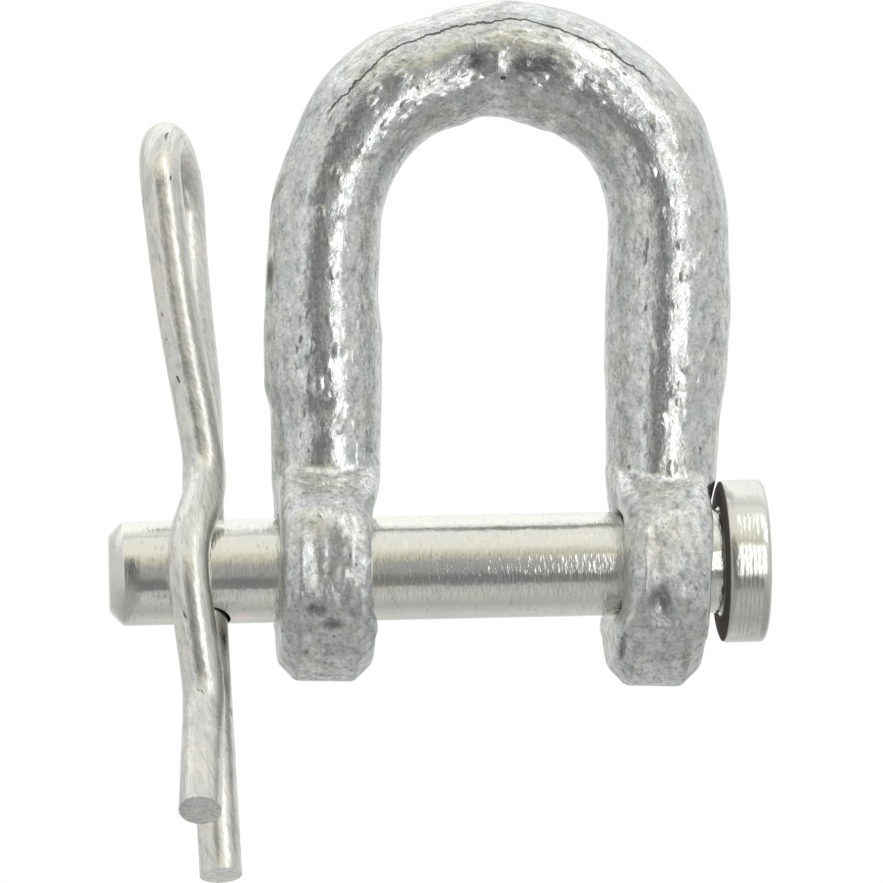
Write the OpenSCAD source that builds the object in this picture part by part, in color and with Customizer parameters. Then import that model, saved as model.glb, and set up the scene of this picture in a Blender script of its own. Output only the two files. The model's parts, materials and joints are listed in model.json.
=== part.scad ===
// Forged D shackle for rigging, closed by a headed clevis pin and a spring clip.
// The origin is on the pin's axis, midway between the two eyes of the bow.
// +X runs along the pin towards its head, and +Z points up to the bow's crown.

/* [Bow] */
// Diameter of the round bar that the bow is bent from
bar_d = 11.4; // [10.5:0.1:12]
// Clear width between the bow's legs
inside_w = 21.6; // [20:0.1:24]
// Distance from the pin's axis to the inside of the crown
inside_l = 43.2; // [36:0.1:50]
// Sideways lean of the hand-bent bow from square
bow_lean = 2.1; // [0:0.1:2.4]

/* [Eyes] */
// Radius of the flattened eye at the foot of each leg
eye_r = 11.3; // [10:0.1:12.5]
// Thickness of each eye along the pin
eye_t = 8.7; // [8:0.1:9.6]
// Width of the jaw between the eyes
jaw_w = 22.8; // [21:0.1:23.4]
// Bevel around the rim of each eye
eye_bevel = 1.7; // [0.5:0.1:2]
// Diameter of the pin hole through each eye
eye_hole_d = 11.2; // [10.8:0.1:11.8]
// Height above the pin's axis at which the eye's sloping shoulders meet the leg
shoulder_rise = 8.6; // [7:0.1:9.4]
// Slope of the shoulders below level
shoulder_slope = 28; // [15:1:45]

/* [Pin] */
// Diameter of the pin's shank
pin_d = 10; // [9:0.1:10.4]
// Distance from the origin to the pin's tip
tip_reach = 36.8; // [35:0.1:42]
// Bevel around the pin's tip
tip_bevel = 1.4; // [0.5:0.1:2]
// Distance from the origin to the underside of the head
head_reach = 22; // [21.8:0.1:24]
// Diameter of the head
head_d = 15.7; // [14:0.1:16]
// Thickness of the head
head_t = 4.2; // [3:0.1:6]
// Bevel around both edges of the head's rim
head_bevel = 0.7; // [0.3:0.1:1.2]
// Distance from the origin to the cross hole for the clip
clip_reach = 27.4; // [26.5:0.1:29]
// Diameter of the cross hole
cross_hole_d = 4.7; // [4.5:0.1:5]

/* [Clip] */
// Diameter of the clip's spring wire
wire_d = 4; // [3.5:0.1:4.1]
// Length of the straight leg below the pin's axis
straight_tail = 31; // [24:0.5:36]
// Height of the loop's centre above the pin's axis
loop_rise = 37.5; // [34:0.5:42]
// Bend radius of the loop, to the middle of the wire
loop_r = 5.6; // [5.4:0.1:6]
// Backward tilt of the clip, the loop end leaning away from the front
clip_tilt = 25; // [0:1:60]
// Sideways lean of the clip in its hole
clip_lean = 1.2; // [0:0.1:1.5]
// Turn of the clip about its straight leg
clip_yaw = 14.5; // [0:0.5:16]

/* [Hidden] */
$fn = 64;
// Reach past a surface, for cuts
over = 1;
// Middle of each eye along the pin
eye_x = (jaw_w + eye_t) / 2;
// Middle of each leg, and the height at which the legs turn into the crown
leg_x = (inside_w + bar_d) / 2;
crown_z = inside_l - inside_w / 2;
// Height at which the round leg starts, clear of the pin's head, and the length of its tapered foot
leg_foot = head_d / 2 + 1.6;
foot_taper = 5;
// Height at which the slopes of the two shoulders would meet, inside the leg
shoulder_peak = shoulder_rise + bar_d / 2 * tan(shoulder_slope);
// Slopes of the waved leg against the straight one: closing in below the loop, rising over the
// pin, coming back to the lip and flaring at the tip
close_slope = 13.5;
rise_slope = 27;
return_slope = 23;
flare_slope = 19;
// The waved leg from the top of the loop, as steps of [straight length, bend radius, turn].
// A positive turn is to the left, away from the straight leg once the loop is passed.
spring_leg_steps = [
    [0, loop_r, -(90 + close_slope)],
    [26.7, 6, close_slope + rise_slope],
    [4.6, 9, -(rise_slope + return_slope)],
    [6.5, 7, return_slope + flare_slope],
    [11.8, 0, 0],
];
// The waved leg strays sideways most at this height above the pin, by this much, and comes back
// over these lengths above and below it
stray_rise = 7;
stray = 1.35;
stray_above = 14;
stray_below = 6;
// Sides of the swept wire, and the most length or turn between two of its rings
wire_sides = 16;
ring_gap = 4;
ring_turn = 11;

// One eye, flattened from the bar: a bevelled disc whose shoulders slope up to the leg
module eye(side) {
    translate([side * eye_x, 0, 0])
        intersection() {
            rotate([0, 90, 0])
                rotate_extrude($fn = 96)
                    polygon([
                        [0, -eye_t / 2],
                        [eye_r - eye_bevel, -eye_t / 2],
                        [eye_r, -eye_t / 2 + eye_bevel],
                        [eye_r, eye_t / 2 - eye_bevel],
                        [eye_r - eye_bevel, eye_t / 2],
                        [0, eye_t / 2],
                    ]);
            rotate([90, 0, 90])
                linear_extrude(height = eye_t + 2 * over, center = true)
                    polygon([
                        [0, shoulder_peak],
                        [-2 * eye_r, shoulder_peak - 2 * eye_r * tan(shoulder_slope)],
                        [-2 * eye_r, -2 * eye_r],
                        [2 * eye_r, -2 * eye_r],
                        [2 * eye_r, shoulder_peak - 2 * eye_r * tan(shoulder_slope)],
                    ]);
        }
}

// The bow before drilling: two legs, the half-round crown and two eyes, leaning a little
module bow_blank() {
    rotate([0, bow_lean, 0]) {
        for (side = [-1, 1]) {
            translate([side * leg_x, 0, leg_foot])
                cylinder(d = bar_d, h = crown_z - leg_foot);
            translate([side * eye_x, 0, leg_foot - foot_taper])
                cylinder(d1 = eye_t - 1, d2 = bar_d - 0.5, h = foot_taper);
            eye(side);
        }
        translate([0, 0, crown_z])
            rotate([90, 0, 0])
                rotate_extrude(angle = 180)
                    translate([leg_x, 0])
                        circle(d = bar_d);
    }
}

// The bow, bored for the pin through both eyes
module bow() {
    color("lightsteelblue")
        difference() {
            bow_blank();
            rotate([0, 90, 0])
                cylinder(d = eye_hole_d, h = 2 * (eye_x + eye_t), center = true);
        }
}

// Places its children in the clip's own frame: the straight leg runs up +Y through the
// cross hole, and the spring leg lies towards +X
module in_clip_frame(lean = clip_lean) {
    translate([-clip_reach, 0, 0])
        rotate([0, -lean, 0])
            rotate([-clip_tilt, 0, 0])
                rotate([90, 0, -90 - clip_yaw])
                    children();
}

// The pin: a turned shank and head in one, drilled across for the clip
module clevis_pin() {
    color("gainsboro")
        difference() {
            rotate([0, 90, 0])
                rotate_extrude($fn = 96)
                    polygon([
                        [0, -tip_reach],
                        [pin_d / 2 - tip_bevel, -tip_reach],
                        [pin_d / 2, -tip_reach + tip_bevel],
                        [pin_d / 2, head_reach],
                        [head_d / 2 - head_bevel, head_reach],
                        [head_d / 2, head_reach + head_bevel],
                        [head_d / 2, head_reach + head_t - head_bevel],
                        [head_d / 2 - head_bevel, head_reach + head_t],
                        [0, head_reach + head_t],
                    ]);
            in_clip_frame(lean = 0)
                rotate([90, 0, 0])
                    cylinder(d = cross_hole_d, h = pin_d + 2 * over, center = true);
        }
}

// The straight leg, through the pin, with its half of the loop
module clip_straight_leg() {
    color("silver")
        in_clip_frame() {
            translate([0, -straight_tail, 0])
                rotate([-90, 0, 0])
                    cylinder(d = wire_d, h = straight_tail + loop_rise);
            translate([loop_r, loop_rise, 0])
                rotate([0, 0, 90])
                    rotate_extrude(angle = 90)
                        translate([loop_r, 0])
                            circle(d = wire_d);
        }
}

// Stations [x, y, heading] along the steps, from a starting station
function stations(steps, x, y, heading, i = 0) =
    i == len(steps) ? [[x, y, heading]] :
    let (
        straight = steps[i][0],
        turn = steps[i][2],
        bend = sign(turn) * steps[i][1],
        lengths = ceil(straight / ring_gap),
        turns = ceil(abs(turn) / ring_turn),
        bend_x = x + straight * cos(heading),
        bend_y = y + straight * sin(heading),
        end = heading + turn
    )
    concat(
        [for (k = [0:1:lengths - 1])
            let (along = straight * k / lengths)
            [x + along * cos(heading), y + along * sin(heading), heading]],
        [for (k = [0:1:turns - 1])
            let (at = heading + turn * k / turns)
            [bend_x + bend * (sin(at) - sin(heading)), bend_y - bend * (cos(at) - cos(heading)), at]],
        stations(
            steps,
            bend_x + bend * (sin(end) - sin(heading)),
            bend_y - bend * (cos(end) - cos(heading)),
            end,
            i + 1
        )
    );

// Sideways stray of the waved leg at a height above the pin
function stray_at(rise) =
    let (reach = rise > stray_rise ? stray_above : stray_below)
    -stray * exp(-pow((rise - stray_rise) / reach, 2));

// The other half of the loop and the waved leg that springs over the outside of the pin, as
// one skin through a ring of points at each station
module clip_spring_leg() {
    route = stations(spring_leg_steps, loop_r, loop_rise + loop_r, 0);
    last = len(route) - 1;
    rings = [for (s = route, k = [0:wire_sides - 1])
        let (across = wire_d / 2 * cos(360 * k / wire_sides))
        [
            s[0] - across * sin(s[2]),
            s[1] + across * cos(s[2]),
            stray_at(s[1]) + wire_d / 2 * sin(360 * k / wire_sides),
        ]];
    skin = [for (i = [0:last - 1], k = [0:wire_sides - 1])
        let (
            a = i * wire_sides + k,
            b = i * wire_sides + (k + 1) % wire_sides
        )
        [a, b, b + wire_sides, a + wire_sides]];
    start_cap = [for (k = [wire_sides - 1:-1:0]) k];
    end_cap = [for (k = [0:wire_sides - 1]) last * wire_sides + k];
    color("silver")
        in_clip_frame()
            polyhedron(points = rings, faces = concat(skin, [start_cap], [end_cap]));
}

bow();
clevis_pin();
clip_straight_leg();
clip_spring_leg();
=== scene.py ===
import json
import math

import bmesh
import bpy
import numpy as np
from mathutils import Matrix, Vector


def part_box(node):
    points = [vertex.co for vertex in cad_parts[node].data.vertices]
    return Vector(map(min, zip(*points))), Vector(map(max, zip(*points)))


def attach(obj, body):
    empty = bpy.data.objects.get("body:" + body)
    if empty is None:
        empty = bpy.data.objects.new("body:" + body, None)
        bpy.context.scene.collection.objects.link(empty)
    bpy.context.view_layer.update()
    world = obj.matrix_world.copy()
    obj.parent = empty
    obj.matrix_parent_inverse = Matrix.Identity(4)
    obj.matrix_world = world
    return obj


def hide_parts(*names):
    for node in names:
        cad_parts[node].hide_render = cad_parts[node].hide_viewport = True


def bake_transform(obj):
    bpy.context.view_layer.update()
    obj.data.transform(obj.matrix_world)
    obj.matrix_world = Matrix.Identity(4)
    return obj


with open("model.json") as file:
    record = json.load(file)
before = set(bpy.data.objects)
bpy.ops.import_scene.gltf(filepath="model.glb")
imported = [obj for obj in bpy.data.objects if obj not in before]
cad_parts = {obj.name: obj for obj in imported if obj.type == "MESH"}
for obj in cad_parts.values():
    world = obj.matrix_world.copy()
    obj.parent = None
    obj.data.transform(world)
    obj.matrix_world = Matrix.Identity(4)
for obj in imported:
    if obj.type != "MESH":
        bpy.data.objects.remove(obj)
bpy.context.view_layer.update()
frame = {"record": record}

# ---------------------------------------------------------------- the shackle's own dimensions, mm

MM = 0.001
MOUNTS = {m["name"]: m for m in frame["record"]["mounts"]}
PIN_R = MOUNTS["pin_span"]["dims"]["r_mm"]
INSIDE_R = MOUNTS["bow_crown"]["dims"]["r_mm"]
BAR_R = MOUNTS["bow_crown"]["dims"]["length_mm"] / 2
CROWN_AT = Vector(MOUNTS["bow_crown"]["pos_m"]) / MM
LEAN = math.atan2(CROWN_AT.x, CROWN_AT.z)
LEG_X = INSIDE_R + BAR_R
CROWN_Z = CROWN_AT.length - INSIDE_R

EYE_R = 11.3
EYE_BEVEL = 1.7
EYE_HOLE_R = 5.6
# Middle and thickness of the left and the right eye, hand forged and so not quite alike
LEFT_EYE = (16.0, 9.0)
RIGHT_EYE = (15.7, 8.6)
# Each eye's jaw side is pressed in by this much, from a lip below the pin up to the leg
LEFT_DENT = 0.72
RIGHT_DENT = 0.80
LIP_Z, LIP_STEP = -6.0, 2.0
PRESS_TOP, PRESS_FADE = 9.0, 4.0
# The neck, seen along the pin: a circle of this radius at this height, and the tangents from it
# to the eye's rim. It is a little fuller than the eye, on which it ends at the lower height.
NECK_R = 3.2
NECK_Z = 8.7
NECK_FULLER = 0.2
NECK_LOW = -6.4
# How far the neck's middle stands inside the leg's at its top
NECK_IN = 0.3
# Radius of the neck's rim at its foot, and how much it grows to the top
NECK_RIM, NECK_RIM_MORE = 1.0, 4.5
# The eye's shoulders slope down from this height just inside the leg's surface
SHOULDER_RISE = 8.6
SHOULDER_SLOPE = math.radians(28)
SHOULDER_IN = 0.4
# Height at which the round leg starts, inside the eye
LEG_FOOT = 4.6
# Softness of the eye's bevel, the neck on the eye, the shoulders' edge, the leg on them, the bore
BEVEL_SOFT, NECK_SOFT, SHOULDER_SOFT, LEG_SOFT, BORE_SOFT = 0.2, 0.5, 1.2, 1.0, 0.7

PIN_LOW, PIN_HIGH = (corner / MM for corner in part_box("clevis_pin"))
HEAD_REACH = 22.0
HEAD_R = PIN_HIGH.z
CLIP_REACH = 27.4

WIRE_R = 2.0
STRAIGHT_TAIL = 31.0
LOOP_RISE = 37.5
LOOP_R = 5.6
CLIP_TILT, CLIP_LEAN, CLIP_YAW = (math.radians(a) for a in (25, 1.2, 14.5))


# ---------------------------------------------------------------- small helpers

class Nodes:
    """Adds nodes to a node tree, each with its inputs fed by name or by number."""

    def __init__(self, tree):
        self.tree = tree

    def add(self, kind, feeds=None, out=0, **settings):
        node = self.tree.nodes.new(kind)
        for name, value in settings.items():
            setattr(node, name, value)
        for name, value in (feeds or {}).items():
            self.feed(node.inputs[name], value)
        return node if out is None or not node.outputs else node.outputs[out]

    def feed(self, socket, value):
        if isinstance(value, bpy.types.NodeSocket):
            self.tree.links.new(value, socket)
        else:
            socket.default_value = value

    def math(self, operation, a, b=0.0, c=0.0, clamp=False):
        return self.add("ShaderNodeMath", {0: a, 1: b, 2: c}, operation=operation, use_clamp=clamp)

    def vector(self, operation, a, b=(0.0, 0.0, 0.0), out=0):
        return self.add("ShaderNodeVectorMath", {0: a, 1: b}, out=out, operation=operation)

    def step(self, value, low, high, smooth="SMOOTHSTEP"):
        """0 below low and 1 above high, with a smooth rise between; low may be above high."""
        feeds = {"Value": value, "From Min": low, "From Max": high}
        return self.add("ShaderNodeMapRange", feeds, interpolation_type=smooth)

    def noise(self, where, size, detail=2.0, rough=0.5, warp=0.0, seed=0.0):
        feeds = {"Vector": where, "W": seed, "Scale": 1 / size, "Detail": detail,
                 "Roughness": rough, "Distortion": warp}
        return self.add("ShaderNodeTexNoise", feeds, noise_dimensions="4D")

    def ramp(self, value, stops, interpolation="LINEAR"):
        node = self.add("ShaderNodeValToRGB", {"Fac": value}, out=None)
        node.color_ramp.interpolation = interpolation
        points = node.color_ramp.elements
        while len(points) < len(stops):
            points.new(0.5)
        for point, (place, colour) in zip(points, stops):
            point.position = place
            point.color = (*colour, 1) if isinstance(colour, tuple) else (colour,) * 3 + (1,)
        return node.outputs[0]

    def mix(self, amount, a, b, blend="MIX"):
        node = self.add("ShaderNodeMix", out=None, data_type="RGBA", blend_type=blend)
        for number, value in ((0, amount), (6, a), (7, b)):
            self.feed(node.inputs[number], value)
        return node.outputs[2]

    def over(self, colour, tone, share, strength):
        """The colour with a tone laid over it at this strength where the share is 1."""
        return self.mix(self.math("MULTIPLY", share, strength), colour, (*tone, 1))

    def raised(self, value, share, amount):
        """The value with this amount added where the share is 1, held between 0 and 1."""
        return self.math("MULTIPLY_ADD", share, amount, value, clamp=True)

    def split(self, where):
        """The x, y and z of a place."""
        return self.add("ShaderNodeSeparateXYZ", {0: where}, out=None).outputs

    def blob(self, where, centre, reach):
        """1 at the centre of a soft ellipsoid and 0 at its reach."""
        away = self.vector("SUBTRACT", where, centre)
        share = self.vector("DIVIDE", away, reach)
        length = self.vector("LENGTH", share, out=1)
        return self.step(length, 1.0, 0.4)


def grey(level):
    return (level, level, level, 1)


def new_object(name, mesh, smooth_angle=None):
    obj = bpy.data.objects.new(name, mesh)
    bpy.context.scene.collection.objects.link(obj)
    mesh.shade_smooth()
    if smooth_angle:
        mesh.set_sharp_from_angle(angle=math.radians(smooth_angle))
    return obj


def modified_mesh(obj, name):
    """The object's mesh with its modifiers applied, in a new mesh of its own."""
    evaluated = obj.evaluated_get(bpy.context.evaluated_depsgraph_get())
    mesh = bpy.data.meshes.new_from_object(evaluated)
    mesh.name = name
    return mesh


def geometry_tree(name, sizes):
    """A geometry node tree with a geometry in and out and one named number input for each size."""
    tree = bpy.data.node_groups.new(name, "GeometryNodeTree")
    tree.interface.new_socket("Geometry", in_out="INPUT", socket_type="NodeSocketGeometry")
    tree.interface.new_socket("Geometry", in_out="OUTPUT", socket_type="NodeSocketGeometry")
    for label in sizes:
        kind = "NodeSocketInt" if isinstance(sizes[label], int) else "NodeSocketFloat"
        tree.interface.new_socket(label, in_out="INPUT", socket_type=kind)
    return tree


def run_tree(obj, tree, sizes, name):
    """Runs a geometry tree on an object with these sizes and returns the finished mesh."""
    modifier = obj.modifiers.new(name, "NODES")
    modifier.node_group = tree
    for item in tree.interface.items_tree:
        if item.in_out == "INPUT" and item.name in sizes:
            modifier[item.identifier] = sizes[item.name]
    mesh = modified_mesh(obj, name)
    obj.modifiers.remove(modifier)
    return mesh


# ---------------------------------------------------------------- camera, light and floor

CAMERA_AWAY = 0.560
CAMERA_AZIMUTH = math.radians(-4.3)
CAMERA_ROLL = math.radians(1.1)
VIEW_WIDTH = 0.08494
SENSOR = 36.0
PIN_FROM_CENTRE = Vector((0.00486, -0.01198))
WINDOW_AWAY = 0.140
# The lower and upper pane of a window at front right, as (left edge, width, sill, height, glow)
WINDOW_PANES = ((0.030, 0.055, -0.045, 0.105, 1.35), (0.072, 0.070, 0.080, 0.260, 1.25))
# How light the room is, as (angle in degrees, grey or colour). Going over and under, 0 is level
# in front, 90 straight up and 180 level behind; going round about, 0 is in front and 90 right.
ROOM_OVER_UNDER = (
    (-180, 0.90), (-150, 0.64), (-128, 0.72), (-90, 0.50), (-60, 0.68), (-41, 0.60), (-37, 0.24),
    (-19, 0.21), (-10, 0.39), (0, 0.43), (12, 0.47), (23, (0.68, 0.665, 0.55)),
    (32, (0.80, 0.785, 0.65)), (46, (0.94, 0.935, 0.87)), (70, (0.96, 0.95, 0.90)), (86, 0.98),
    (89, 0.60), (92, 0.86), (100, 0.92), (112, 1.20), (150, 1.15), (180, 0.95),
)
ROOM_ROUND_ABOUT = (
    (-180, 0.93), (-135, 0.68), (-92, 0.72), (-62, 0.70), (-55, 0.74), (-46, 1.05), (-36, 0.55),
    (-24, 0.32), (-17, 0.13), (9, 0.12), (15, 0.60), (40, 0.70), (110, 0.68), (140, 0.84),
    (180, 0.95),
)
FLOOR_Z = -0.060
FLOOR_SIZE = 0.56


def make_camera():
    """A long lens, level with the crown's foot and a little to the left of square."""
    right = Vector((math.cos(CAMERA_AZIMUTH), math.sin(CAMERA_AZIMUTH), 0))
    ahead = Vector((-math.sin(CAMERA_AZIMUTH), math.cos(CAMERA_AZIMUTH), 0))
    up = Vector((0, 0, 1))
    across = right * math.cos(CAMERA_ROLL) - up * math.sin(CAMERA_ROLL)
    upward = right * math.sin(CAMERA_ROLL) + up * math.cos(CAMERA_ROLL)
    aim = -across * PIN_FROM_CENTRE.x - upward * PIN_FROM_CENTRE.y
    data = bpy.data.cameras.new("camera")
    data.sensor_width = SENSOR
    data.lens = SENSOR * CAMERA_AWAY / VIEW_WIDTH
    data.clip_start = 0.01
    data.clip_end = 20
    camera = bpy.data.objects.new("camera", data)
    bpy.context.scene.collection.objects.link(camera)
    turn = Matrix((across, upward, -ahead)).transposed()
    camera.matrix_world = Matrix.Translation(aim - ahead * CAMERA_AWAY) @ turn.to_4x4()
    bpy.context.scene.camera = camera


def room_ramp(n, degrees, stops):
    """The room's light by an angle from -180 to 180 degrees."""
    share = n.math("MULTIPLY_ADD", degrees, 1 / 360, 0.5)
    return n.ramp(share, [((angle + 180) / 360, light) for angle, light in stops])


def make_studio():
    """A white room with pale paper below, a dark gap in front and a window of two panes."""
    world = bpy.data.worlds.new("studio")
    world.use_nodes = True
    bpy.context.scene.world = world
    world.node_tree.nodes.clear()
    n = Nodes(world.node_tree)
    towards = n.add("ShaderNodeTexCoord")
    x, y, z = n.split(towards)
    front = n.math("MULTIPLY", y, -1.0)
    rise = n.math("DEGREES", n.math("ARCTAN2", z, front))
    swing = n.math("DEGREES", n.math("ARCTAN2", x, front))
    height = n.math("DEGREES", n.math("ARCSINE", z))
    over_under = room_ramp(n, rise, ROOM_OVER_UNDER)
    round_about = room_ramp(n, swing, ROOM_ROUND_ABOUT)
    sideways = n.math("MULTIPLY", n.step(n.math("ABSOLUTE", x), 0.03, 0.24), n.step(height, 48, 20))
    room = n.mix(sideways, over_under, round_about)
    dim_below = n.math("MULTIPLY", sideways, n.step(height, 5, -60))
    room = n.mix(dim_below, room, grey(0.42))
    seen = n.add("ShaderNodeLightPath")
    colour = n.mix(seen, room, grey(1.0))
    shine = n.add("ShaderNodeBackground", {"Color": colour})
    n.add("ShaderNodeOutputWorld", {"Surface": shine})

    for left, wide, sill, tall, glow in WINDOW_PANES:
        pane = bpy.data.lights.new("window_pane", "AREA")
        pane.shape = "RECTANGLE"
        pane.size, pane.size_y = wide, tall
        pane.energy = glow * math.pi * wide * tall
        lamp = bpy.data.objects.new("window_pane", pane)
        bpy.context.scene.collection.objects.link(lamp)
        lamp.location = (left + wide / 2, -WINDOW_AWAY, sill + tall / 2)
        lamp.rotation_euler = (math.pi / 2, 0, 0)
        lamp.visible_camera = False
        lamp.visible_diffuse = False


def make_floor():
    mesh = bpy.data.meshes.new("floor")
    half = FLOOR_SIZE / 2
    corners = [(-half, -half), (half, -half), (half, half), (-half, half)]
    mesh.from_pydata([(x, y, FLOOR_Z) for x, y in corners], [], [(0, 1, 2, 3)])
    floor = new_object("floor", mesh)
    paper = bpy.data.materials.new("floor_paper")
    paper.use_nodes = True
    shader = paper.node_tree.nodes["Principled BSDF"]
    shader.inputs["Base Color"].default_value = grey(0.86)
    shader.inputs["Roughness"].default_value = 0.8
    mesh.materials.append(paper)
    floor.visible_glossy = False


# ---------------------------------------------------------------- finishes

def new_material(name):
    """An empty material, its node helper and its shader node."""
    material = bpy.data.materials.new(name)
    material.use_nodes = True
    return material, Nodes(material.node_tree), material.node_tree.nodes["Principled BSDF"]


def finish_with(n, shader, colour, rough, bumps):
    """Feeds a metal shader: colour, roughness, and bumps as (height, depth in metres) pairs."""
    n.feed(shader.inputs["Base Color"], colour)
    n.feed(shader.inputs["Roughness"], rough)
    shader.inputs["Metallic"].default_value = 1.0
    normal = None
    for height, depth in bumps:
        feeds = {"Height": height, "Distance": depth, "Strength": 1.0}
        if normal is not None:
            feeds["Normal"] = normal
        normal = n.add("ShaderNodeBump", feeds)
    n.feed(shader.inputs["Normal"], normal)


def galvanised_zinc():
    """Hot-dip zinc: lumpy, mottled light grey, with dirt specks, and painted shade in its dents,
    pits, slots, lip crease and one open lap seam.
    """
    material, n, shader = new_material("galvanised_zinc")
    where = n.add("ShaderNodeTexCoord", out=3)
    bar = n.add("ShaderNodeAttribute", out=1, attribute_name="bar_coords")
    drawn = n.vector("MULTIPLY", bar, DRAWN_OUT)
    patches = n.noise(where, 0.0042, detail=3, rough=0.6)
    mottle = n.noise(drawn, 0.0009, detail=5, rough=0.72, warp=0.25)
    grain = n.noise(where, 0.00038, detail=3, rough=0.7)
    specks = n.noise(drawn, 0.00055, detail=2, rough=0.6, seed=4.0)

    colour = n.ramp(mottle, [(0.32, (0.34, 0.355, 0.35)), (0.44, (0.62, 0.635, 0.625)),
                             (0.56, (0.79, 0.80, 0.79)), (0.68, (0.94, 0.945, 0.925))])
    colour = n.over(colour, (0.38, 0.39, 0.385), n.step(grain, 0.48, 0.32), 0.7)
    colour = n.over(colour, (0.98, 0.98, 0.96), n.step(grain, 0.54, 0.70), 0.8)
    tint = n.ramp(patches, [(0.38, (0.94, 0.965, 0.98)), (0.52, (1.0, 1.0, 0.985)),
                            (0.66, (0.97, 0.95, 0.90))])
    colour = n.mix(1.0, colour, tint, blend="MULTIPLY")
    dirt = n.step(specks, 0.335, 0.27)
    colour = n.over(colour, (0.16, 0.165, 0.16), dirt, 0.75)

    along, deep, outward = n.split(bar)
    only_along = n.vector("MULTIPLY", bar, (1.0, 0.0, 0.0))
    wander = n.noise(only_along, 0.0028, detail=4, rough=0.62, seed=2.0)
    seam_at = n.math("MULTIPLY_ADD", wander, SEAM_WANDER, SEAM_OUT - SEAM_WANDER / 2)
    off_seam = n.math("ABSOLUTE", n.math("SUBTRACT", outward, seam_at))
    thick = n.math("MULTIPLY_ADD", n.noise(drawn, 0.0016, seed=9.0), 0.00036, -0.00007)
    seam = n.step(n.math("DIVIDE", off_seam, thick), 1.0, 0.35)
    off_middle = n.math("ABSOLUTE", n.math("SUBTRACT", along, SEAM_MIDDLE))
    in_crown = n.step(off_middle, SEAM_HALF, SEAM_HALF * 0.9)
    marks = n.math("MULTIPLY", n.math("MULTIPLY", seam, in_crown), n.step(deep, 0.0, -0.0005))
    for spot, reach in ZINC_SLOTS:
        marks = n.math("MAXIMUM", marks, n.blob(bar, spot, reach))
    marks = n.math("MAXIMUM", marks, n.blob(where, *LIP_CREASE))
    # Painted shade: the lap seam, the slots and the lip crease are coloured near black as the shade
    # inside them
    colour = n.over(colour, (0.06, 0.06, 0.058), marks, 0.85)
    # Painted shade: the dents and pits are darkened, most where the mottle is dark
    shade = 0.0
    for spot, reach in PIT_AND_DENT_SHADE:
        shade = n.math("MAXIMUM", shade, n.blob(where, spot, reach))
    shade = n.math("MULTIPLY", shade, n.step(mottle, 0.72, 0.44))
    colour = n.over(colour, (0.22, 0.235, 0.24), shade, 0.9)

    rough = n.ramp(mottle, [(0.34, 0.34), (0.50, 0.22), (0.66, 0.17)])
    rough = n.raised(rough, dirt, 0.2)
    rough = n.raised(rough, n.step(n.split(where)[2], *EYE_DULL), 0.15)
    rough = n.raised(rough, n.blob(where, *WORN_EYE), 0.22)
    pimples = n.noise(drawn, 0.0008, detail=2, rough=0.55, seed=1.0)
    beads = n.add("ShaderNodeTexVoronoi", {
        "Vector": drawn, "Scale": 1 / 0.0011, "Smoothness": 0.6}, feature="SMOOTH_F1")
    beaded = n.step(n.noise(where, 0.0030, detail=2, seed=6.0), 0.46, 0.58)
    beads = n.math("MULTIPLY", n.step(beads, 0.55, 0.15), beaded)
    finish_with(n, shader, colour, rough, [
        (marks, -0.00035), (pimples, 0.00006), (beads, 0.00010), (grain, 0.000035)])
    return material


def plated_steel():
    """Turned and plated steel: smooth, warm, with faint tool lines, fine specks and painted shade
    under the head.
    """
    material, n, shader = new_material("plated_steel")
    where = n.add("ShaderNodeTexCoord", out=3)
    cloud = n.noise(where, 0.0035, detail=3, rough=0.6)
    lines = n.noise(n.vector("MULTIPLY", where, (1.0, 0.06, 0.06)), 0.00016, detail=2, rough=0.6)
    specks = n.noise(n.vector("MULTIPLY", where, (1.0, 0.45, 0.45)), 0.00042, detail=3, rough=0.7)
    colour = n.ramp(cloud, [(0.35, (0.75, 0.755, 0.72)), (0.52, (0.79, 0.79, 0.74)),
                            (0.68, (0.82, 0.805, 0.72))])
    colour = n.over(colour, (0.38, 0.38, 0.36), n.step(specks, 0.42, 0.30), 0.45)
    colour = n.over(colour, (0.92, 0.92, 0.90), n.step(specks, 0.58, 0.70), 0.5)
    x, y, z = n.split(where)
    on_head = n.step(x, HEAD_REACH * MM, (HEAD_REACH + 0.4) * MM)
    colour = n.over(colour, (0.52, 0.525, 0.50), on_head, 0.25)
    radius = n.math("SQRT", n.math("ADD", n.math("MULTIPLY", y, y), n.math("MULTIPLY", z, z)))
    # Painted shade: a dark ring on the head's underside round the shank, where the head shades the
    # gap; it is also made rough
    behind = n.math("MULTIPLY", n.step(x, (HEAD_REACH + 0.3) * MM, (HEAD_REACH + 0.1) * MM),
                    n.step(x, (HEAD_REACH - 0.4) * MM, (HEAD_REACH - 0.1) * MM))
    head_underside_shade = n.math("MULTIPLY", behind, n.step(radius, (PIN_R + 0.1) * MM, (PIN_R + 0.5) * MM))
    colour = n.over(colour, (0.17, 0.14, 0.12), head_underside_shade, 0.85)
    colour = n.over(colour, (0.92, 0.80, 0.77), n.blob(where, *PIN_STAIN), 0.8)
    rough = n.ramp(specks, [(0.30, 0.22), (0.50, 0.13), (0.70, 0.11)])
    rough = n.math("ADD", rough, n.math("MULTIPLY", on_head, 0.05))
    rough = n.math("ADD", rough, head_underside_shade, clamp=True)
    scratched = n.noise(n.vector("MULTIPLY", where, (1.0, 0.3, 0.3)), 0.00030, detail=2, seed=2.0)
    finish_with(n, shader, colour, rough, [
        (cloud, 0.00006), (scratched, 0.00003), (lines, 0.000003)])
    return material


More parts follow.
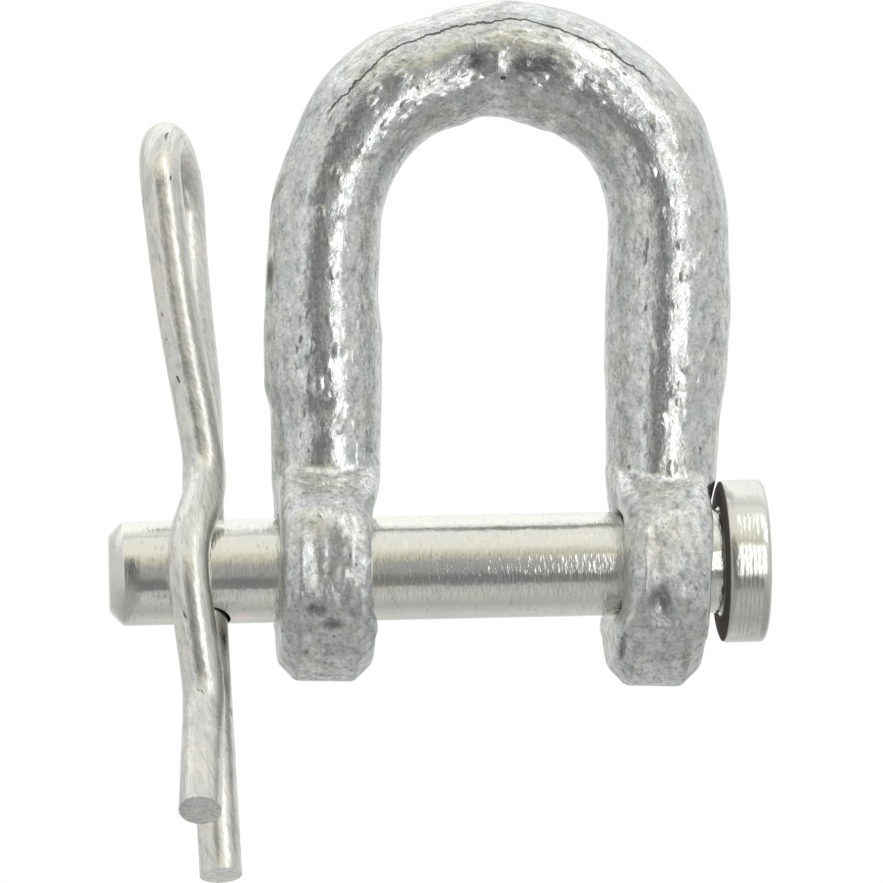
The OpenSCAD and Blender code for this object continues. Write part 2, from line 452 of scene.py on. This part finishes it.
def spring_wire():
    """Drawn and plated spring wire: bright, with fine lengthwise streaks and small pits."""
    material, n, shader = new_material("spring_wire")
    where = n.add("ShaderNodeTexCoord", out=3)
    along = n.add("ShaderNodeAttribute", out=2, attribute_name="wire_along")
    across = n.add("ShaderNodeAttribute", out=1, attribute_name="wire_across")
    length = n.add("ShaderNodeCombineXYZ", {"X": n.math("MULTIPLY", along, 0.08)})
    drawn = n.vector("ADD", across, length)
    half_length = n.add("ShaderNodeCombineXYZ", {"X": n.math("MULTIPLY", along, 0.5)})
    half_drawn = n.vector("ADD", across, half_length)
    streaks = n.noise(drawn, 0.00035, detail=3, rough=0.6)
    cloud = n.noise(where, 0.0030, detail=3, rough=0.6, seed=3.0)
    pits = n.noise(half_drawn, 0.00085, detail=2, rough=0.5, seed=7.0)
    colour = n.ramp(cloud, [(0.35, (0.72, 0.725, 0.70)), (0.52, (0.80, 0.795, 0.745)),
                            (0.68, (0.85, 0.83, 0.74))])
    colour = n.over(colour, (0.44, 0.45, 0.44), n.step(streaks, 0.48, 0.34), 0.5)
    mottle = n.noise(half_drawn, 0.0007, detail=4, rough=0.7, seed=11.0)
    colour = n.over(colour, (0.42, 0.43, 0.42), n.step(mottle, 0.50, 0.36), 0.4)
    colour = n.over(colour, (0.95, 0.95, 0.92), n.step(mottle, 0.54, 0.66), 0.5)
    grit = n.noise(half_drawn, 0.00040, detail=4, rough=0.75, seed=8.0)
    colour = n.over(colour, (0.40, 0.40, 0.39), n.step(grit, 0.46, 0.34), 0.5)
    pit = n.step(pits, 0.30, 0.25)
    colour = n.over(colour, (0.10, 0.10, 0.10), pit, 0.85)
    dull = n.blob(where, *WORN_SPOT)
    worn = n.noise(where, 0.0006, detail=3, rough=0.7, seed=5.0)
    dull = n.math("MULTIPLY", dull, n.step(worn, 0.38, 0.52))
    colour = n.over(colour, (0.42, 0.43, 0.42), dull, 0.7)
    rough = n.ramp(streaks, [(0.35, 0.33), (0.55, 0.24), (0.70, 0.19)])
    rough = n.raised(rough, dull, 0.25)
    finish_with(n, shader, colour, rough, [
        (cloud, 0.00015), (pit, -0.00015), (grit, 0.000025), (streaks, 0.00002)])
    return material


# The zinc's lumps and mottle are drawn out along the bar
DRAWN_OUT = (0.55, 1.0, 1.0)
# Where the lap seam runs on the bar: distance out from the bar's middle, how far it wanders, and
# its stretch of the bar
SEAM_OUT = 0.0032
SEAM_WANDER = 0.0022
SEAM_MIDDLE = -0.002
SEAM_HALF = 0.0155
# Short open slots in the zinc, painted dark as the shade inside them, as (place on the straightened
# bar, reach)
ZINC_SLOTS = (
    ((-0.0308, -0.0015, 0.0052), (0.0022, 0.0011, 0.0006)),
    ((0.0335, -0.0020, 0.0049), (0.0030, 0.0009, 0.0005)),
    ((-0.0002, -0.0049, -0.0023), (0.0004, 0.0009, 0.0003)),
)
# Painted shade in the dents on the crown and the pits on the eyes: darker smooth patches, as
# (place, reach)
PIT_AND_DENT_SHADE = (
    ((-0.0016, -0.0055, 0.0482), (0.0017, 0.0030, 0.0012)),
    ((0.0044, -0.0055, 0.0478), (0.0030, 0.0030, 0.0012)),
    ((-0.0176, -0.0110, -0.0036), (0.0015, 0.0030, 0.0009)),
    ((-0.0162, -0.0110, -0.0050), (0.0019, 0.0030, 0.0008)),
    ((0.0150, -0.0110, -0.0034), (0.0016, 0.0030, 0.0019)),
)
# The open crease behind the right eye's lip, painted dark as the shadow line under the lip, as
# (place, reach)
LIP_CREASE = ((0.0117, -0.0090, -0.0088), (0.00045, 0.0045, 0.0027))
# The zinc is duller on the eyes, fading between these heights, and most on one eye's front
EYE_DULL = (0.009, 0.003)
WORN_EYE = ((0.0170, -0.0112, 0.0015), (0.0042, 0.0050, 0.0065))
# A warm stain on the pin below the clip, and a dull rubbed place on the waved leg
PIN_STAIN = ((-0.0241, -0.0030, -0.0046), (0.0013, 0.0030, 0.0010))
WORN_SPOT = ((-0.0286, -0.0075, -0.0083), (0.0012, 0.0024, 0.0044))


# ---------------------------------------------------------------- the bow

CELL = 0.29
# Room left round the bar and round the eyes when the bow's field is sampled
BAR_ROOM, EYE_ROOM = 1.5, 1.2
# The forged bar along its length: station on the straightened bar, shift of its middle outward,
# radius. Station 0 is the top of the crown and the left leg is negative.
BAR_SHAPE = (
    (-56, -0.30, 4.2), (-53, -0.30, 4.7), (-50, -0.30, 5.1), (-47, -0.25, 5.2), (-44, -0.20, 5.3),
    (-41, 0.10, 5.65), (-37, 0.15, 5.7), (-32, 0.35, 5.4), (-26, 0.15, 5.35), (-20, -0.10, 5.25),
    (-14, 0.15, 5.6), (-10, 0.10, 5.65), (-6, -0.40, 5.5), (-3, -0.15, 5.45), (0, -0.05, 5.65),
    (3, -0.25, 5.8), (6, -0.20, 5.9), (9, 0.0, 5.75), (14, 0.25, 5.7), (17, 0.30, 5.8),
    (20, 0.0, 5.7), (26, 0.0, 5.8), (33, 0.10, 6.05), (38, -0.05, 5.95), (45, -0.25, 5.45),
    (49, -0.25, 5.3), (52, -0.40, 4.9), (56, -0.45, 4.2),
)
# Dents and lumps on the front, as (x, z, half width, half height, height)
FRONT_MARKS = (
    (-1.7, 48.2, 1.5, 1.1, -0.20), (4.2, 47.8, 2.6, 1.0, -0.22), (0.9, 48.6, 0.5, 1.2, 0.12),
    (-18.7, 40.0, 0.9, 1.3, -0.18), (-16.3, 13.8, 1.2, 1.0, 0.20), (-16.5, 16.2, 1.0, 0.9, -0.15),
    (-16.6, -0.6, 1.5, 3.2, -0.30), (-17.6, -3.6, 1.0, 0.7, -0.30), (-16.2, -4.9, 1.6, 0.6, -0.25),
    (-18.9, 1.0, 0.5, 4.5, 0.28), (-15.3, 4.0, 0.6, 0.9, 0.30), (-14.2, 1.8, 0.6, 1.2, 0.30),
    (-15.0, -0.3, 0.5, 0.7, 0.30), (-16.0, -2.6, 0.5, 0.8, 0.32), (-16.8, 1.0, 0.25, 1.5, 0.15),
    (-18.2, -5.8, 1.3, 0.6, 0.20), (-17.2, 5.2, 0.8, 1.0, 0.15), (-13.2, -4.2, 0.5, 2.0, 0.20),
    (15.0, -3.4, 1.1, 1.4, -0.50), (17.0, -2.9, 0.65, 0.75, 0.75), (13.7, 0.0, 0.5, 3.6, 0.28),
    (15.3, -6.0, 1.6, 0.5, 0.22), (18.9, 1.2, 0.5, 3.6, 0.22), (15.6, 2.4, 0.9, 0.5, 0.20),
    (16.6, 5.4, 1.6, 0.8, 0.18), (13.4, -2.4, 0.6, 0.9, 0.20),
)
# How quickly a mark reaches full height as the surface turns to the front
MARK_FACING = 1.6
# The zinc's lumps die out near the bores, and have this share of their height on the eyes
BORE_CLEAR, BORE_FADE = 0.1, 1.5
EYE_ZINC, EYE_ZINC_TOP, EYE_ZINC_FADE = 0.30, 5.0, 2.0


def bar_shape(station):
    """Shift and radius of the bar at each station, easing from one listed place to the next."""
    places, shifts, radii = (np.array(column) for column in zip(*BAR_SHAPE))
    index = np.clip(np.searchsorted(places, station) - 1, 0, len(places) - 2)
    share = np.clip((station - places[index]) / (places[index + 1] - places[index]), 0, 1)
    share = share * share * (3 - 2 * share)
    return [row[index] + share * (row[index + 1] - row[index]) for row in (shifts, radii)]


def bar_coordinates(x, z):
    """Each point's place on the straightened bar: station along it, and distance out."""
    above = z > CROWN_Z
    turn = np.arctan2(x, np.maximum(z - CROWN_Z, 0.0))
    side = np.where(x < 0, -1.0, 1.0)
    station = np.where(above, LEG_X * turn, side * (LEG_X * np.pi / 2 + CROWN_Z - z))
    out = np.where(above, np.hypot(x, z - CROWN_Z), np.abs(x)) - LEG_X
    return station, out


def joined(a, b, soft):
    """The union of two distance fields with a fillet of about this size."""
    h = np.clip(0.5 + 0.5 * (b - a) / soft, 0, 1)
    return b + (a - b) * h - soft * h * (1 - h)


def bow_field(x, y, z):
    """Distance to the bow's surface, in the bow's own upright frame, in mm."""
    station, out = bar_coordinates(x, z)
    shift, radius = bar_shape(station)
    bar = np.hypot(out - shift, y) - radius
    foot = LEG_FOOT - z
    bar = np.where(foot > 0, np.hypot(np.maximum(bar, 0), foot), bar)

    eye_x, eye_t = (np.where(x < 0, left, right) for left, right in zip(LEFT_EYE, RIGHT_EYE))
    across = np.abs(np.abs(x) - eye_x)
    jaw_side = np.where(np.abs(x) < eye_x, 1.0, 0.0)
    pressed = np.clip((z - LIP_Z) / LIP_STEP, 0, 1) * np.clip((PRESS_TOP - z) / PRESS_FADE, 0, 1)
    dent = jaw_side * pressed * pressed * np.where(x < 0, LEFT_DENT, RIGHT_DENT)
    flat = across + dent - eye_t / 2
    round_ = np.hypot(y, z) - EYE_R
    bevel = (flat + round_ + EYE_BEVEL) * math.sqrt(0.5)
    eye = -joined(-np.maximum(flat, round_), -bevel, BEVEL_SOFT)

    lean_in = (EYE_R - NECK_R) / NECK_Z
    run = math.sqrt(1 - lean_in * lean_in)
    side_y = np.abs(y)
    up_tangent = -lean_in * side_y + run * z
    slope = side_y * run + z * lean_in - EYE_R
    profile = np.where(up_tangent > run * NECK_Z, np.hypot(side_y, z - NECK_Z) - NECK_R, slope)
    profile = np.where(up_tangent < 0, round_, profile)
    spread = np.clip(z / NECK_Z, 0, 1)
    half = eye_t / 2 + NECK_FULLER * spread
    rim = np.minimum(NECK_RIM + NECK_RIM_MORE * spread * spread, half - NECK_FULLER)
    middle = eye_x + (LEG_X - NECK_IN - eye_x) * spread
    a = np.abs(np.abs(x) - middle) + dent - (half - rim)
    b = profile + rim
    neck = np.hypot(np.maximum(a, 0), np.maximum(b, 0)) + np.minimum(np.maximum(a, b), 0) - rim
    neck = np.maximum(neck, NECK_LOW - z)

    shoulder = ((z - SHOULDER_RISE) * math.cos(SHOULDER_SLOPE)
                + (side_y - BAR_R + SHOULDER_IN) * math.sin(SHOULDER_SLOPE))
    whole_eye = -joined(-joined(neck, eye, NECK_SOFT), -shoulder, SHOULDER_SOFT)
    body = joined(bar, whole_eye, LEG_SOFT)
    upright = z * math.cos(LEAN) - x * math.sin(LEAN)
    hole = np.hypot(y, upright) - EYE_HOLE_R
    return -joined(-body, hole, BORE_SOFT)


def skin_of(field, low, cell):
    """Points and four-sided faces of the surface where a sampled field crosses zero."""
    solid = field < 0
    spots = [tuple((c >> axis) & 1 for axis in range(3)) for c in range(8)]
    nx, ny, nz = (size - 1 for size in field.shape)
    count = sum(solid[i:i + nx, j:j + ny, k:k + nz].astype(np.int8) for i, j, k in spots)
    mixed = (count > 0) & (count < 8)
    cells = np.argwhere(mixed)
    number = np.full(mixed.shape, -1)
    number[mixed] = np.arange(len(cells))
    total = np.zeros((len(cells), 3))
    hits = np.zeros(len(cells))
    for first in spots:
        for axis in range(3):
            if first[axis]:
                continue
            second = tuple(1 if axis == place else first[place] for place in range(3))
            here = field[tuple((cells + first).T)]
            there = field[tuple((cells + second).T)]
            crossed = (here < 0) != (there < 0)
            share = here[crossed] / (here[crossed] - there[crossed])
            total[crossed] += np.array(first) + share[:, None] * (np.array(second) - first)
            hits[crossed] += 1
    points = low + (cells + total / hits[:, None]) * cell
    faces = []
    for axis in range(3):
        u, v = (axis + 1) % 3, (axis + 2) % 3
        shift = np.eye(3, dtype=int)
        ahead = np.roll(solid, -1, axis)
        change = solid != ahead
        last = tuple(slice(-1 if place == axis else 0, None) for place in range(3))
        change[last] = False
        edges = np.argwhere(change)
        corners = [number[tuple((edges - back).T)]
                   for back in (shift[u] + shift[v], shift[v], 0 * shift[u], shift[u])]
        quads = np.stack(corners, 1)
        outward = solid[tuple(edges.T)]
        faces.append(np.where(outward[:, None], quads, quads[:, ::-1]))
    return points, np.concatenate(faces)


def zinc_skin_tree(sizes):
    """Lumps and swells of hot-dip zinc: moves each point out along its normal."""
    tree = geometry_tree("zinc_skin", sizes)
    n = Nodes(tree)
    given = n.add("NodeGroupInput", out=None)
    bar = n.add("GeometryNodeInputNamedAttribute", {"Name": "bar_coords"}, data_type="FLOAT_VECTOR")
    drawn = n.vector("MULTIPLY", bar, DRAWN_OUT)
    moves = []
    for kind in ("Lump", "Swell"):
        feeds = {"Vector": drawn, "Detail": 2.0, "Roughness": 0.55, "W": given.outputs["Seed"],
                 "Scale": n.math("DIVIDE", 1.0, given.outputs[kind + " size"])}
        level = n.math("SUBTRACT", n.add("ShaderNodeTexNoise", feeds, noise_dimensions="4D"), 0.5)
        moves.append(n.math("MULTIPLY", level, given.outputs[kind + " height"]))
    fade = n.add("GeometryNodeInputNamedAttribute", {"Name": "zinc_fade"}, data_type="FLOAT")
    move = n.math("MULTIPLY", n.math("ADD", *moves), fade)
    normal = n.add("GeometryNodeInputNormal")
    offset = n.add("ShaderNodeVectorMath", {0: normal, "Scale": move}, operation="SCALE")
    moved = n.add("GeometryNodeSetPosition", {"Geometry": given.outputs[0], "Offset": offset})
    real = n.add("GeometryNodeRealizeInstances", {0: moved})
    painted = n.add("GeometryNodeSetMaterial", {
        "Geometry": real, "Material": FINISH["galvanised_zinc"]})
    n.add("NodeGroupOutput", {0: painted})
    return tree


def make_bow():
    """The forged bow, skinned from its distance field, then marked and given its zinc."""
    half_wide, half_deep = LEG_X + BAR_R + BAR_ROOM, EYE_R + EYE_ROOM
    low = np.array([-half_wide, -half_deep, -EYE_R - EYE_ROOM])
    high = np.array([half_wide, half_deep, CROWN_Z + LEG_X + BAR_R + BAR_ROOM])
    axes = [np.arange(low[i], high[i], CELL, dtype=np.float64) for i in range(3)]
    grid = np.meshgrid(*axes, indexing="ij")
    points, faces = skin_of(bow_field(*grid), low, CELL)

    mesh = bpy.data.meshes.new("bow_forging")
    mesh.from_pydata(points, [], faces)
    mesh.update()
    normals = np.zeros(len(points) * 3)
    mesh.vertex_normals.foreach_get("vector", normals)
    normals = normals.reshape(-1, 3)
    station, out = bar_coordinates(points[:, 0], points[:, 2])
    bar = np.stack([station, points[:, 1], out], 1) * MM
    cos, sin = math.cos(LEAN), math.sin(LEAN)
    turn = np.array([[cos, 0, sin], [0, 1, 0], [-sin, 0, cos]])
    placed, outward = points @ turn.T, normals @ turn.T

    push = np.zeros(len(points))
    facing = np.clip(-outward[:, 1] * MARK_FACING, 0, 1)
    for x, z, wide, tall, height in FRONT_MARKS:
        away = ((placed[:, 0] - x) / wide) ** 2 + ((placed[:, 2] - z) / tall) ** 2
        push += height * np.exp(-away) * facing * (placed[:, 1] < 0)
    bore = np.hypot(placed[:, 1], placed[:, 2])
    fade = np.clip((bore - EYE_HOLE_R - BORE_CLEAR) / BORE_FADE, 0, 1)
    on_leg = np.clip((placed[:, 2] - EYE_ZINC_TOP) / EYE_ZINC_FADE, 0, 1)
    fade *= EYE_ZINC + (1 - EYE_ZINC) * on_leg
    placed = placed + outward * push[:, None]
    mesh.vertices.foreach_set("co", (placed * MM).ravel())
    bar_coords = mesh.attributes.new("bar_coords", "FLOAT_VECTOR", "POINT")
    bar_coords.data.foreach_set("vector", bar.ravel())
    zinc_fade = mesh.attributes.new("zinc_fade", "FLOAT", "POINT")
    zinc_fade.data.foreach_set("value", fade)
    mesh.update()
    blank = new_object("bow_blank", mesh)
    sizes = {"Lump size": 0.0016, "Lump height": 0.00014, "Swell size": 0.007,
             "Swell height": 0.0003, "Seed": 3.0}
    skin = run_tree(blank, zinc_skin_tree(sizes), sizes, "bow_forging")
    bpy.data.objects.remove(blank)
    bow = new_object("bow_forging", skin)
    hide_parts("bow")
    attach(bow, "bow")


# ---------------------------------------------------------------- the pin

PIN_SIDES = 128
# Length of the bevelled tip, and the rings along the shank behind it
TIP_LENGTH = 1.45
SHANK_RINGS = 27
SHANK_STEP = 2.0
# Shallow turned grooves round the head's rim, from this far past its underside
GROOVES_START = 1.15
GROOVES = 5
GROOVE_PITCH = 0.42
GROOVE_DEPTH = 0.007
GROOVE_PARTS = 8
DRILL_R = 2.09
DRILL_LENGTH = 14
DRILL_SIDES = 48


def pin_outline():
    """The turned pin's outline as (x, radius) points from the tip's middle to the head's middle."""
    tip, top = PIN_LOW.x, PIN_HIGH.x
    outline = [(tip, 0), (tip, 3.55), (tip + 0.12, 3.78), (tip + 1.15, 4.86)]
    outline += [(tip + TIP_LENGTH + ring * SHANK_STEP, PIN_R) for ring in range(SHANK_RINGS + 1)]
    outline += [(HEAD_REACH - 0.25, PIN_R), (HEAD_REACH, PIN_R + 0.25)]
    outline += [(HEAD_REACH, HEAD_R - 0.55), (HEAD_REACH + 0.15, HEAD_R - 0.15),
                (HEAD_REACH + 0.5, HEAD_R)]
    start = HEAD_REACH + GROOVES_START
    for groove in range(GROOVES):
        for part in range(GROOVE_PARTS):
            share = part / GROOVE_PARTS
            depth = GROOVE_DEPTH * (1 - math.cos(2 * math.pi * share)) / 2
            outline.append((start + (groove + share) * GROOVE_PITCH, HEAD_R - depth))
    outline += [(top - 0.42, HEAD_R), (top - 0.22, HEAD_R - 0.10), (top - 0.06, HEAD_R - 0.35),
                (top, HEAD_R - 0.75), (top, 0)]
    return outline


def make_pin():
    """The clevis pin: one turned shape, drilled across for the clip."""
    outline = pin_outline()
    shape = bmesh.new()
    rings = []
    for x, radius in outline:
        if radius == 0:
            rings.append([shape.verts.new((x * MM, 0, 0))] * PIN_SIDES)
            continue
        angles = [2 * math.pi * k / PIN_SIDES for k in range(PIN_SIDES)]
        spots = [(x * MM, radius * math.cos(a) * MM, radius * math.sin(a) * MM) for a in angles]
        rings.append([shape.verts.new(spot) for spot in spots])
    for before, after in zip(rings, rings[1:]):
        for k in range(PIN_SIDES):
            beside = (k + 1) % PIN_SIDES
            corners = [before[k], before[beside], after[beside], after[k]]
            shape.faces.new(list(dict.fromkeys(corners)))
    bmesh.ops.recalc_face_normals(shape, faces=shape.faces)
    mesh = bpy.data.meshes.new("pin_turning")
    shape.to_mesh(mesh)
    shape.free()
    blank = new_object("pin_blank", mesh)

    drill_mesh = bpy.data.meshes.new("drill")
    shape = bmesh.new()
    bmesh.ops.create_cone(
        shape, cap_ends=True, segments=DRILL_SIDES, radius1=DRILL_R * MM, radius2=DRILL_R * MM,
        depth=DRILL_LENGTH * MM, matrix=clip_turn(0.0) @ Matrix.Rotation(math.pi / 2, 4, "X"))
    shape.to_mesh(drill_mesh)
    shape.free()
    drill = new_object("drill", drill_mesh)
    cut = blank.modifiers.new("cross_hole", "BOOLEAN")
    cut.operation = "DIFFERENCE"
    cut.solver = "EXACT"
    cut.use_self = True
    cut.object = drill
    bored = modified_mesh(blank, "pin_turning")
    bpy.data.objects.remove(blank)
    bpy.data.objects.remove(drill)
    pin = new_object("pin_turning", bored, smooth_angle=32)
    bored.materials.clear()
    bored.materials.append(FINISH["plated_steel"])
    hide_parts("clevis_pin")
    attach(pin, "pin")


# ---------------------------------------------------------------- the clip

CLOSE, RISE, RETURN, FLARE = 13.5, 27.0, 23.0, 19.0
# The waved leg from the top of the loop, as (straight length, bend radius, turn) steps
SPRING_LEG = (
    (0.0, LOOP_R, -(90 + CLOSE)), (26.7, 6.0, CLOSE + RISE), (4.6, 9.0, -(RISE + RETURN)),
    (6.5, 7.0, RETURN + FLARE), (11.8, 1.0, 0.0),
)
# The waved leg strays sideways most at this height above the pin, and comes back over these
# lengths above and below it
STRAY, STRAY_RISE, STRAY_ABOVE, STRAY_BELOW = 1.35, 7.0, 14.0, 6.0
# The straight leg's sideways bow: at its ends, at its waist, the waist's height and half length,
# and the heights between which the bow dies out into the loop
BOW_ENDS, BOW_WAIST, WAIST_RISE, WAIST_REACH = 0.30, 0.62, 17, 11
BOW_FADE = (36, 43)
# Height above the pin at which the loop piece of the wire ends on both legs
LOOP_FOOT = 33.0
# The most length or turn, in degrees, between two points of the wire's path
WIRE_STEP = 0.5
WIRE_TURN = 3.5
WIRE_SIDES = 36
# Length and radius share of the small bevel on a cut end
CUT_BEVEL, CUT_RADIUS = 0.22, 0.90


def clip_turn(lean):
    """The clip's frame: the straight leg runs up Y through the cross hole, the loop is at +X."""
    place = Matrix.Translation((-CLIP_REACH * MM, 0, 0)) @ Matrix.Rotation(-lean, 4, "Y")
    place = place @ Matrix.Rotation(-CLIP_TILT, 4, "X")
    place = place @ Matrix.Rotation(-math.pi / 2 - CLIP_YAW, 4, "Z")
    return place @ Matrix.Rotation(math.pi / 2, 4, "X")


def walk(start, heading, steps):
    """Points along straight and bent steps in the clip's plane, from a start and a heading."""
    x, y = start
    angle = math.radians(heading)
    route = [(x, y)]
    for straight, radius, turn in steps:
        parts = max(1, math.ceil(straight / WIRE_STEP)) if straight else 0
        for part in range(1, parts + 1):
            along = straight * part / parts
            route.append((x + along * math.cos(angle), y + along * math.sin(angle)))
        x += straight * math.cos(angle)
        y += straight * math.sin(angle)
        bend = math.copysign(radius, turn)
        parts = math.ceil(abs(turn) / WIRE_TURN)
        centre = (x - bend * math.sin(angle), y + bend * math.cos(angle))
        for part in range(1, parts + 1):
            at = angle + math.radians(turn) * part / parts
            route.append((centre[0] + bend * math.sin(at), centre[1] - bend * math.cos(at)))
        angle += math.radians(turn)
        x, y = route[-1]
    return route


def ease(value, low, high):
    """0 below low and 1 above high, with a smooth rise between."""
    share = min(1.0, max(0.0, (value - low) / (high - low)))
    return share * share * (3 - 2 * share)


def straight_stray(height):
    """Sideways bow of the straight leg, towards the head at the waist and away at its ends."""
    waist = math.exp(-((height - WAIST_RISE) / WAIST_REACH) ** 2)
    return (BOW_ENDS - BOW_WAIST * waist) * (1 - ease(height, *BOW_FADE))


def spring_stray(height):
    """Sideways stray of the waved leg, most just above the pin."""
    reach = STRAY_ABOVE if height > STRAY_RISE else STRAY_BELOW
    return -STRAY * math.exp(-((height - STRAY_RISE) / reach) ** 2)


def wire_routes():
    """The clip's three stretches of wire, as lists of points in metres."""
    length = STRAIGHT_TAIL + LOOP_FOOT
    straight = walk((0, -STRAIGHT_TAIL), 90, [(length, 1.0, 0.0)])
    up = walk((0, LOOP_FOOT), 90, [(LOOP_RISE - LOOP_FOOT, LOOP_R, -90)])
    down = walk((LOOP_R, LOOP_RISE + LOOP_R), 0, SPRING_LEG)
    split = next(i for i, point in enumerate(down) if point[1] < LOOP_FOOT)
    place = clip_turn(CLIP_LEAN)

    def placed(route, stray):
        return [place @ (Vector((x, y, stray(y))) * MM) for x, y in route]

    loop = placed(up, straight_stray) + placed(down, spring_stray)[1:split + 1]
    return placed(straight, straight_stray), loop, placed(down, spring_stray)[split:]


def wire_tree(sizes):
    """Round wire along a path, with its length and its cross-section kept for the finish."""
    tree = geometry_tree("drawn_wire", sizes)
    n = Nodes(tree)
    given = n.add("NodeGroupInput", out=None)
    length = n.add("GeometryNodeSplineParameter", out=1)
    path = n.add("GeometryNodeStoreNamedAttribute", {
        "Geometry": given.outputs[0], "Name": "wire_along", "Value": length}, data_type="FLOAT")
    ring = n.add("GeometryNodeCurvePrimitiveCircle", {
        "Resolution": given.outputs["Sides"], "Radius": given.outputs["Wire radius"]})
    round_ = n.add("GeometryNodeStoreNamedAttribute", {
        "Geometry": ring, "Name": "wire_across", "Value": n.add("GeometryNodeInputPosition")},
        data_type="FLOAT_VECTOR")
    wire = n.add("GeometryNodeCurveToMesh", {
        "Curve": path, "Profile Curve": round_, "Fill Caps": True})
    real = n.add("GeometryNodeRealizeInstances", {0: wire})
    painted = n.add("GeometryNodeSetMaterial", {
        "Geometry": real, "Material": FINISH["spring_wire"]})
    n.add("NodeGroupOutput", {0: painted})
    return tree


def make_wire(name, route, cut_ends, tree, sizes):
    """One stretch of the clip's wire; a cut end gets a small bevel."""
    curve = bpy.data.curves.new(name, "CURVE")
    curve.dimensions = "3D"
    spline = curve.splines.new("POLY")
    radii = [1.0] * len(route)
    for end in cut_ends:
        inward = (route[end] - route[-2 if end else 1]).normalized()
        bevel = [route[end] - inward * CUT_BEVEL * MM]
        if end == 0:
            route = route[:1] + bevel + route[1:]
            radii = [CUT_RADIUS, 1.0] + radii[1:]
        else:
            route = route[:-1] + bevel + route[-1:]
            radii = radii[:-1] + [1.0, CUT_RADIUS]
    spline.points.add(len(route) - 1)
    for point, place, radius in zip(spline.points, route, radii):
        point.co = (*place, 1)
        point.radius = radius
    blank = bpy.data.objects.new(name, curve)
    bpy.context.scene.collection.objects.link(blank)
    mesh = run_tree(blank, tree, sizes, name)
    bpy.data.objects.remove(blank)
    return new_object(name, mesh, smooth_angle=35)


def make_clip():
    """The spring clip: one wire in three pieces, rigid along both legs, each on a body of its own,
    and the loop piece fixed in place.
    """
    sizes = {"Wire radius": WIRE_R * MM, "Sides": WIRE_SIDES}
    tree = wire_tree(sizes)
    straight, loop, spring = wire_routes()
    straight_leg = make_wire("clip_straight_wire", straight, [0], tree, sizes)
    waved_leg = make_wire("clip_spring_wire", spring, [-1], tree, sizes)
    bend = make_wire("clip_loop_wire", loop, [], tree, sizes)
    for piece, node, body in ((straight_leg, "clip_straight_leg", "clip"),
                              (waved_leg, "clip_spring_leg", "clip_spring")):
        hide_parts(node)
        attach(piece, body)
    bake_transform(bend)


FINISH = {}
for make_finish in (galvanised_zinc, plated_steel, spring_wire):
    FINISH[make_finish.__name__] = make_finish()

make_camera()
make_studio()
make_floor()
make_bow()
make_pin()
make_clip()
bpy.context.scene.view_settings.view_transform = "Standard"
